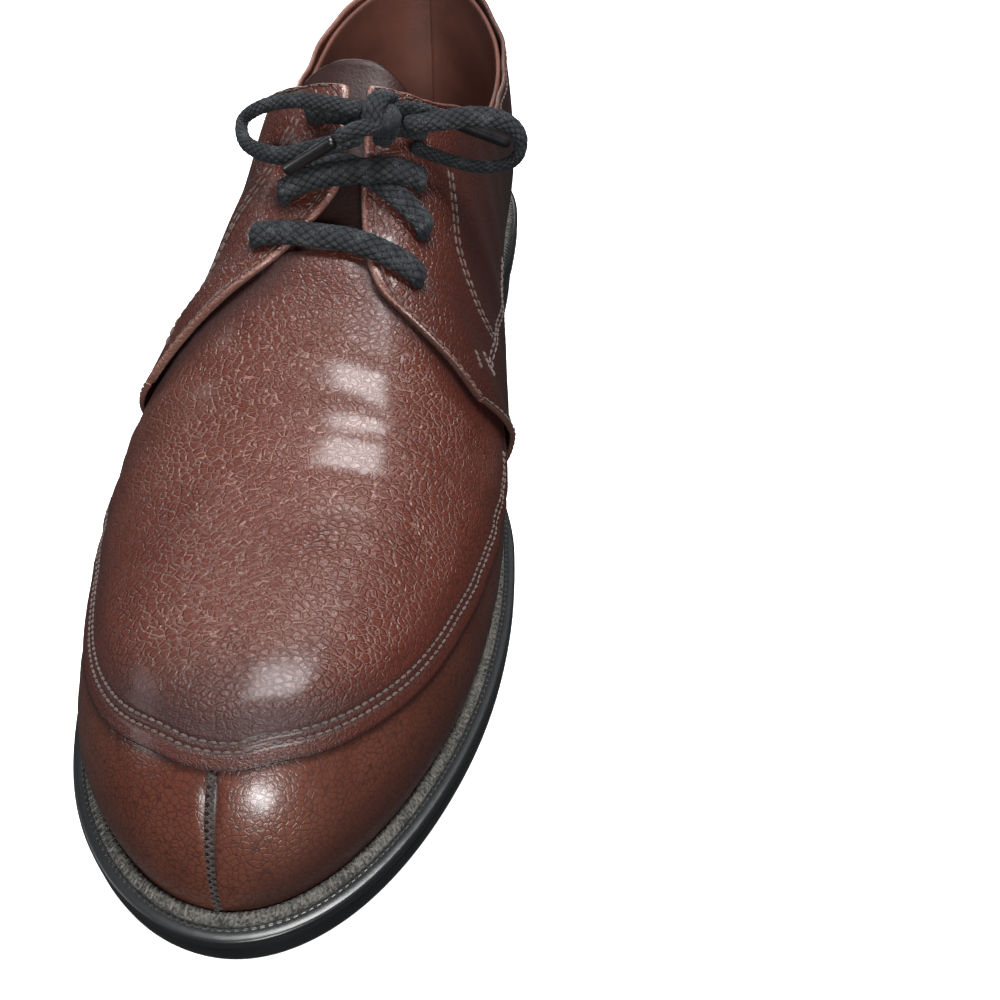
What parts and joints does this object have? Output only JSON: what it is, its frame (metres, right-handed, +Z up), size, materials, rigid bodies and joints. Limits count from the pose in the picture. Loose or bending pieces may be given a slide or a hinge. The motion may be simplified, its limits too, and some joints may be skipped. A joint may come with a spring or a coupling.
{
  "type": "split toe derby shoe",
  "caption": "Split toe derby shoe with a raised apron, open lacing in a bow, a stitched welt, a leather sole and a low heel, for the right foot.",
  "frame": {"origin": "on the ground, under the middle of the shoe's box without the bow", "axes": "+Y towards the heel, -Y towards the toe, +X towards the foot's inner side, +Z up"},
  "size_m": [0.1096, 0.3087, 0.119],
  "materials": {
    "upper_leather": "pebbled oxblood brown, polished",
    "apron_leather": "coarse pebbled oxblood brown, polished",
    "quarter_leather": "pebbled oxblood brown, polished",
    "tongue_leather": "matt dark brown",
    "insole_leather": "plain tan brown",
    "welt_leather": "black, with a grey stitched bead",
    "sole_leather": "black waxed edge",
    "heel_leather": "black waxed stack",
    "heel_rubber": "black, matt",
    "lace_cotton": "black-navy braid, waxed",
    "aglet_plastic": "black, glossy"
  },
  "bodies": {
    "root": {"upper": "upper_leather", "apron": "apron_leather", "quarter_inner": "quarter_leather", "quarter_outer": "quarter_leather", "tongue": "tongue_leather", "insole": "insole_leather", "welt": "welt_leather", "outsole": "sole_leather", "heel": "heel_leather", "top_piece": "heel_rubber", "lace_bar": "lace_cotton", "lace_crossing": "lace_cotton", "bow_knot": "lace_cotton", "bow_loop_outer": "lace_cotton", "bow_loop_inner": "lace_cotton", "lace_end_front": "lace_cotton", "lace_end_back": "lace_cotton", "aglet_front": "aglet_plastic", "aglet_back": "aglet_plastic"}
  },
  "joints": []
}
